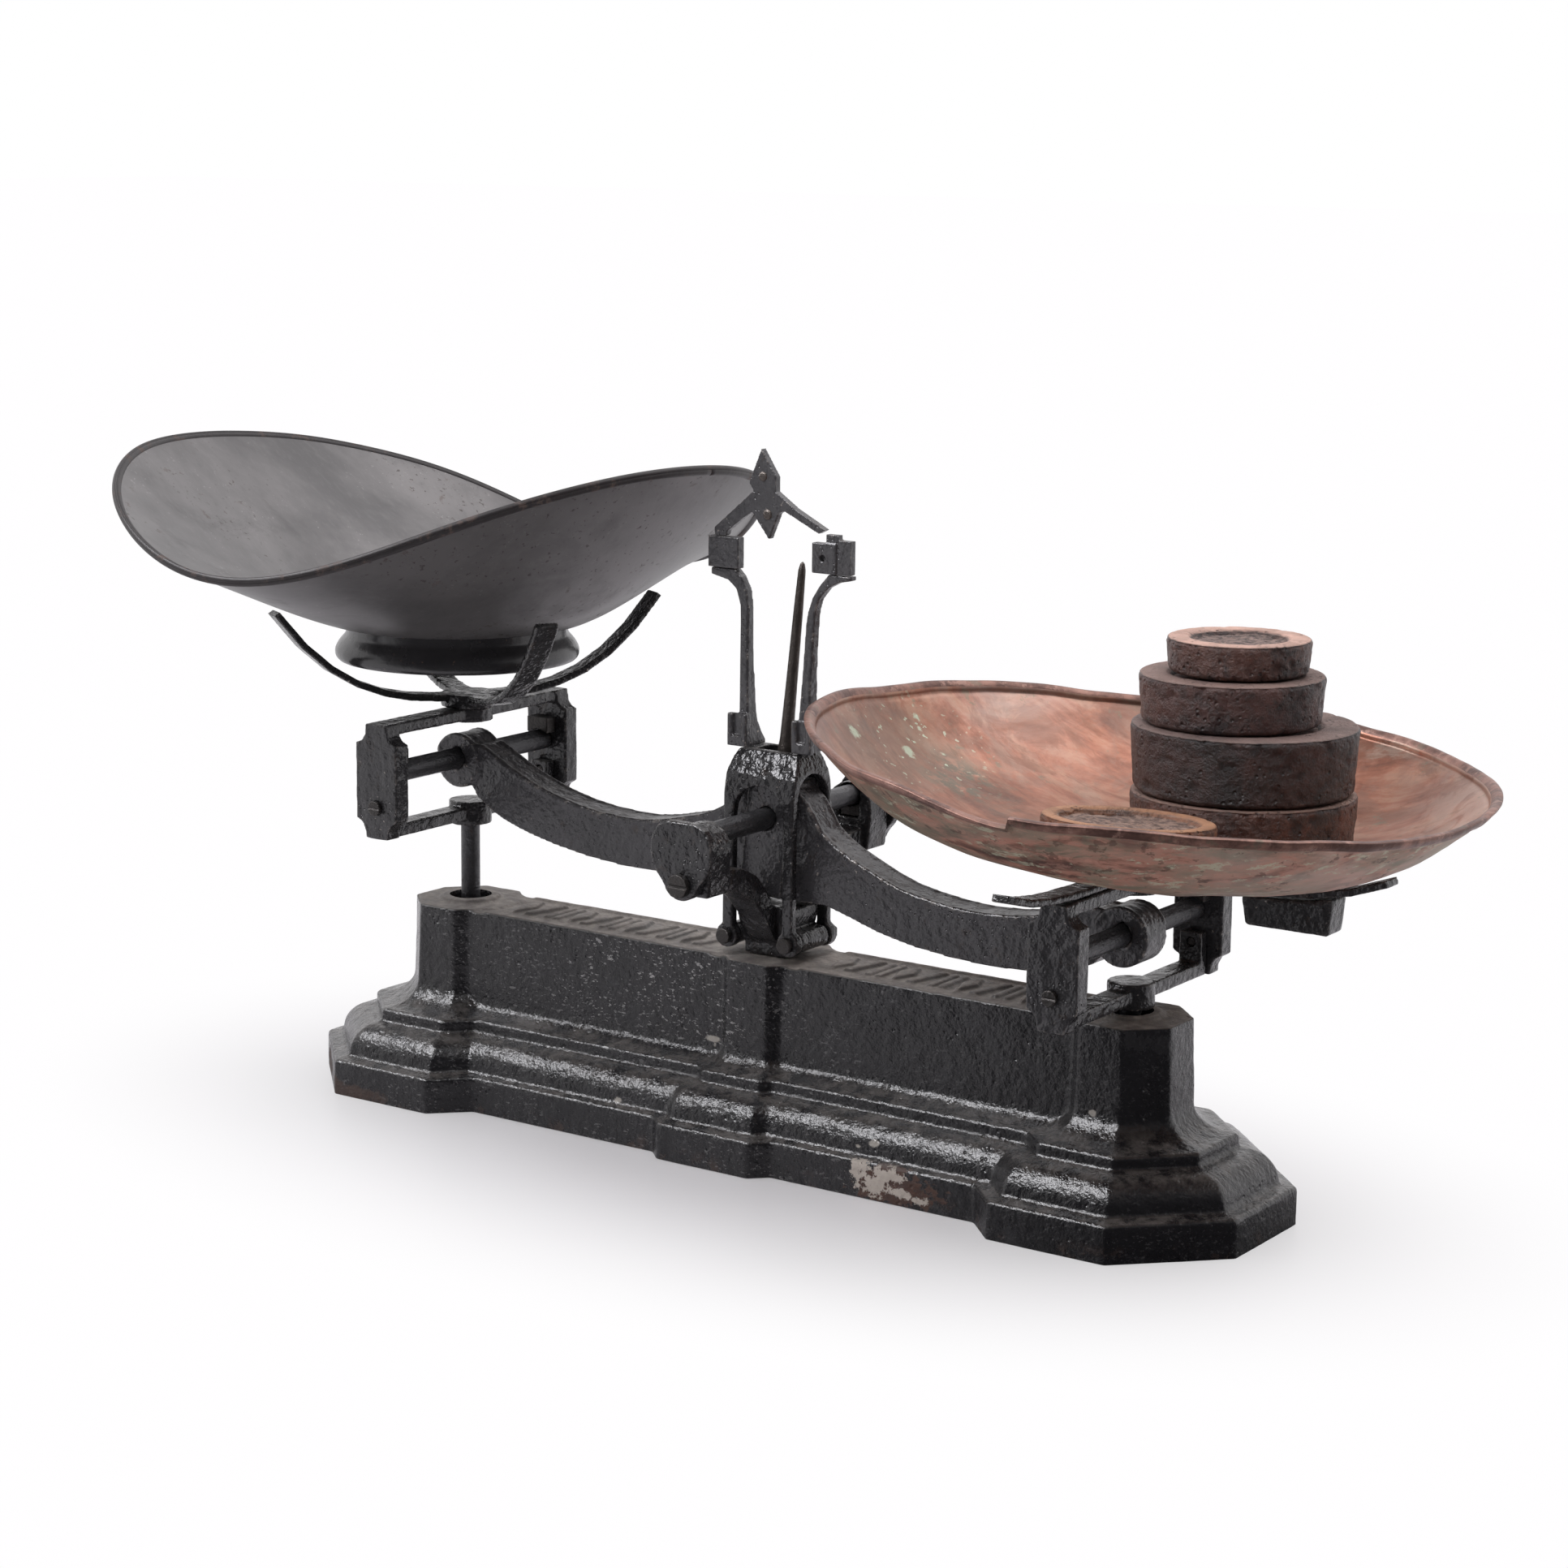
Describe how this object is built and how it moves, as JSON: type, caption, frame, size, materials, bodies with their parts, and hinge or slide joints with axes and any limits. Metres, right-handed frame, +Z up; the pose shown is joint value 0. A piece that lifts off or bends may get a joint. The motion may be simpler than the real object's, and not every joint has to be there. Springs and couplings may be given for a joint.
{
  "type": "equal arm balance scale",
  "caption": "Counter balance with a hollow iron base, bowed beam on knife edges, two stem-guided carriers, an oval scoop, a round dish and loose disc weights.",
  "frame": {"origin": "centre of the underside of the base, on the floor plane", "axes": "+X towards the weights side along the beam, -Y towards the front, +Z up; the beam is drawn with the weights side down"},
  "size_m": [0.579, 0.2836, 0.2741],
  "materials": {
    "gloss_black_paint": "gloss black paint over cast iron, chipped",
    "satin_black_iron": "satin black paint on iron, worn",
    "dark_steel": "darkened steel",
    "black_tin": "satin black tinplate, worn",
    "worn_copper": "tarnished copper",
    "rusted_iron": "rough rusted iron"
  },
  "bodies": {
    "base": {"base_casting": "gloss_black_paint", "centre_pillar": "satin_black_iron", "bearing_cap_front": "satin_black_iron", "bearing_cap_back": "satin_black_iron", "cage": "satin_black_iron", "upright_left": "satin_black_iron", "upright_right": "satin_black_iron", "head_block_left": "satin_black_iron", "head_block_right": "satin_black_iron", "finial": "satin_black_iron", "stay_pin": "dark_steel", "centre_bearing_front": "dark_steel", "centre_bearing_back": "dark_steel", "cap_screw_front": "dark_steel", "cap_screw_back": "dark_steel", "cage_pin_left": "dark_steel", "cage_pin_right": "dark_steel"},
    "beam": {"beam": "satin_black_iron", "centre_knife": "dark_steel", "left_knife": "dark_steel", "right_knife": "dark_steel", "pointer": "dark_steel"},
    "stay": {"stay": "dark_steel"},
    "left_carrier": {"left_carrier_frame": "satin_black_iron", "left_carrier_yoke": "satin_black_iron", "left_stem": "satin_black_iron", "left_spider": "satin_black_iron", "left_stem_pin": "dark_steel", "left_yoke_screw_front": "dark_steel", "left_yoke_screw_back": "dark_steel", "left_hanger_bearing_front": "dark_steel", "left_hanger_bearing_back": "dark_steel"},
    "right_carrier": {"right_carrier_frame": "satin_black_iron", "right_carrier_yoke": "satin_black_iron", "right_stem": "satin_black_iron", "right_spider": "satin_black_iron", "right_stem_pin": "dark_steel", "right_yoke_screw_front": "dark_steel", "right_yoke_screw_back": "dark_steel", "right_hanger_bearing_front": "dark_steel", "right_hanger_bearing_back": "dark_steel", "balance_box": "satin_black_iron"},
    "scoop": {"scoop": "black_tin", "scoop_foot": "black_tin"},
    "weights_pan": {"weights_pan": "worn_copper"},
    "weight_1": {"weight_1": "rusted_iron"},
    "weight_2": {"weight_2": "rusted_iron"},
    "weight_3": {"weight_3": "rusted_iron"},
    "weight_4": {"weight_4": "rusted_iron"},
    "weight_5": {"weight_5": "rusted_iron"}
  },
  "joints": [
    {"name": "beam_tilt", "type": "hinge", "parent": "base", "child": "beam", "pos_m": [0, 0, 0.1265], "axis": [0, -1, 0], "range_deg": [0, 10.7]},
    {"name": "left_carrier_swing", "type": "hinge", "parent": "beam", "child": "left_carrier", "pos_m": [-0.15701, 0, 0.1412], "axis": [0, -1, 0], "range_deg": [-10.7, 0]},
    {"name": "right_carrier_swing", "type": "hinge", "parent": "beam", "child": "right_carrier", "pos_m": [0.15701, 0, 0.1118], "axis": [0, -1, 0], "range_deg": [-10.7, 0]},
    {"name": "stay_tilt", "type": "hinge", "parent": "base", "child": "stay", "pos_m": [0, 0, 0.03], "axis": [0, -1, 0], "range_deg": [0, 10.7]},
    {"name": "scoop_lift", "type": "slide", "parent": "left_carrier", "child": "scoop", "axis": [0, 0, 1], "range_m": [0, 0.03]},
    {"name": "pan_lift", "type": "slide", "parent": "right_carrier", "child": "weights_pan", "axis": [0, 0, 1], "range_m": [0, 0.01]},
    {"name": "weight_4_lift", "type": "slide", "parent": "weights_pan", "child": "weight_4", "axis": [0, 0, 1], "range_m": [0, 0.02]},
    {"name": "weight_3_lift", "type": "slide", "parent": "weight_4", "child": "weight_3", "axis": [0, 0, 1], "range_m": [0, 0.02]},
    {"name": "weight_2_lift", "type": "slide", "parent": "weight_3", "child": "weight_2", "axis": [0, 0, 1], "range_m": [0, 0.02]},
    {"name": "weight_1_lift", "type": "slide", "parent": "weight_2", "child": "weight_1", "axis": [0, 0, 1], "range_m": [0, 0.02]},
    {"name": "weight_5_lift", "type": "slide", "parent": "weights_pan", "child": "weight_5", "axis": [0, 0, 1], "range_m": [0, 0.02]}
  ],
  "couplings": [
    {"joint": "left_carrier_swing", "follows": "beam_tilt", "ratio": -1},
    {"joint": "right_carrier_swing", "follows": "beam_tilt", "ratio": -1},
    {"joint": "stay_tilt", "follows": "beam_tilt", "ratio": 1}
  ]
}
